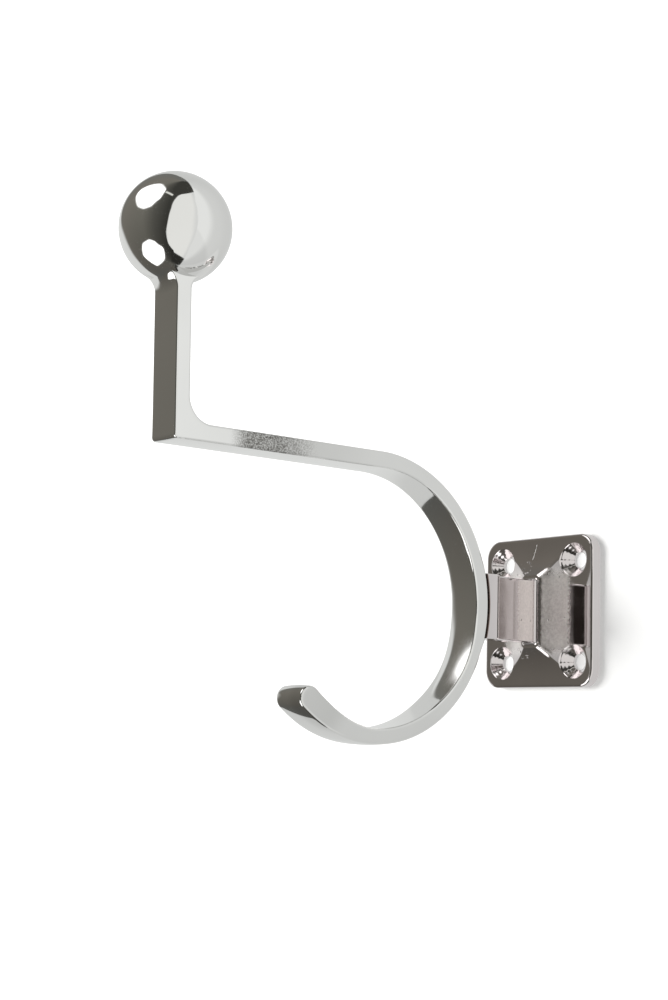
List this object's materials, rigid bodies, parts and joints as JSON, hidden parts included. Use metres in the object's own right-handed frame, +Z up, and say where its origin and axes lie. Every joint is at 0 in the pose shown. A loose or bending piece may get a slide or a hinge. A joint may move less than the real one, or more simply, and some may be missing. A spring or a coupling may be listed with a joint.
{
  "type": "wall hook",
  "caption": "Polished hat and coat hook: square coved wall plate with countersunk holes, a short neck, a flat strap bent into an open C, and an upright that ends in a ball.",
  "frame": {"origin": "centre of the wall plate's back, on the wall", "axes": "+X to the right of someone who faces the wall, +Y into the wall, +Z up; the hook reaches out along -Y"},
  "size_m": [0.0398, 0.1336, 0.13],
  "materials": {
    "hook_chrome": "mirror polished, cool neutral",
    "plate_nickel": "polished, slightly warm and darker than the hook",
    "upper_screw_steel": "plain machined steel",
    "lower_screw_steel": "plain machined steel",
    "upper_washer_steel": "plain spring steel",
    "lower_washer_steel": "plain spring steel"
  },
  "bodies": {
    "root": {"hook_arm": "hook_chrome", "wall_plate": "plate_nickel", "upper_clamp_screw": "upper_screw_steel", "lower_clamp_screw": "lower_screw_steel", "upper_lock_washer": "upper_washer_steel", "lower_lock_washer": "lower_washer_steel"}
  },
  "joints": []
}
